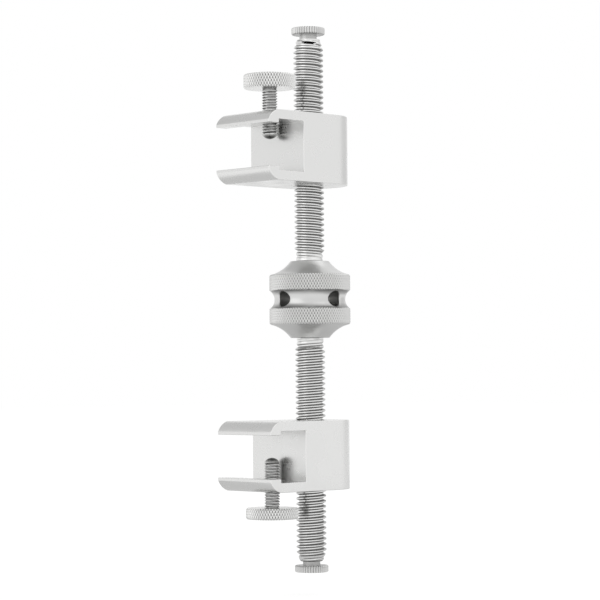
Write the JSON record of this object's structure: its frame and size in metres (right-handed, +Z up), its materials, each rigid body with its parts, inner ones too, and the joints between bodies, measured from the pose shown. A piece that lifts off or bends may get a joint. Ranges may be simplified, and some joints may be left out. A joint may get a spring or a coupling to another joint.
{
  "type": "distraction clamp",
  "caption": "Surgical distraction clamp: a knurled hub turns opposite-handed screws that move two C brackets apart or together; each jaw has a knurled clamp screw.",
  "frame": {"origin": "centre of the knurled hub, where the two cross holes meet on the rods' axis", "axes": "+Z up along the rods towards the left-hand threaded one; jaws open towards -X and the half-round backs of the brackets face +X; +Y completes the right-handed frame"},
  "size_m": [0.0346, 0.0216, 0.1443],
  "materials": {
    "satin_steel": "fine bead-blasted stainless steel",
    "turned_steel": "turned and blasted stainless steel",
    "threaded_steel": "thread-cut stainless steel",
    "knurled_steel": "knurled stainless steel"
  },
  "bodies": {
    "end_stops": {"upper_end_stop": "knurled_steel", "lower_end_stop": "knurled_steel"},
    "spindle": {"hub": "turned_steel", "upper_spindle": "threaded_steel", "lower_spindle": "threaded_steel"},
    "upper_bracket": {"upper_bracket": "satin_steel"},
    "lower_bracket": {"lower_bracket": "satin_steel"},
    "upper_clamp_stud": {"upper_clamp_stud": "threaded_steel"},
    "upper_clamp_knob": {"upper_clamp_knob": "knurled_steel"},
    "lower_clamp_stud": {"lower_clamp_stud": "threaded_steel"},
    "lower_clamp_knob": {"lower_clamp_knob": "knurled_steel"}
  },
  "joints": [
    {"name": "upper_bracket_travel", "type": "slide", "parent": "end_stops", "child": "upper_bracket", "axis": [0, 0, 1], "range_m": [-0.01975, 0.01975]},
    {"name": "lower_bracket_travel", "type": "slide", "parent": "end_stops", "child": "lower_bracket", "axis": [0, 0, -1], "range_m": [-0.01975, 0.01975]},
    {"name": "spindle_turn", "type": "hinge", "parent": "end_stops", "child": "spindle", "pos_m": [0, 0, 0], "axis": [0, 0, 1], "range_deg": [-5040, 5040]},
    {"name": "upper_clamp_travel", "type": "slide", "parent": "upper_bracket", "child": "upper_clamp_stud", "axis": [0, 0, -1], "range_m": [-0.00385, 0.00637]},
    {"name": "upper_clamp_turn", "type": "hinge", "parent": "upper_clamp_stud", "child": "upper_clamp_knob", "pos_m": [-0.01405, 0, 0.05505], "axis": [0, 0, -1], "range_deg": [-1981, 3277]},
    {"name": "lower_clamp_travel", "type": "slide", "parent": "lower_bracket", "child": "lower_clamp_stud", "axis": [0, 0, 1], "range_m": [-0.00595, 0.0042]},
    {"name": "lower_clamp_turn", "type": "hinge", "parent": "lower_clamp_stud", "child": "lower_clamp_knob", "pos_m": [-0.01405, 0, -0.0545], "axis": [0, 0, 1], "range_deg": [-3061, 2161]}
  ],
  "couplings": [
    {"joint": "spindle_turn", "follows": "upper_bracket_travel", "rad_per_m": 4452.7},
    {"joint": "lower_bracket_travel", "follows": "upper_bracket_travel", "ratio": 1},
    {"joint": "upper_clamp_turn", "follows": "upper_clamp_travel", "rad_per_m": 8976},
    {"joint": "lower_clamp_turn", "follows": "lower_clamp_travel", "rad_per_m": 8976}
  ]
}
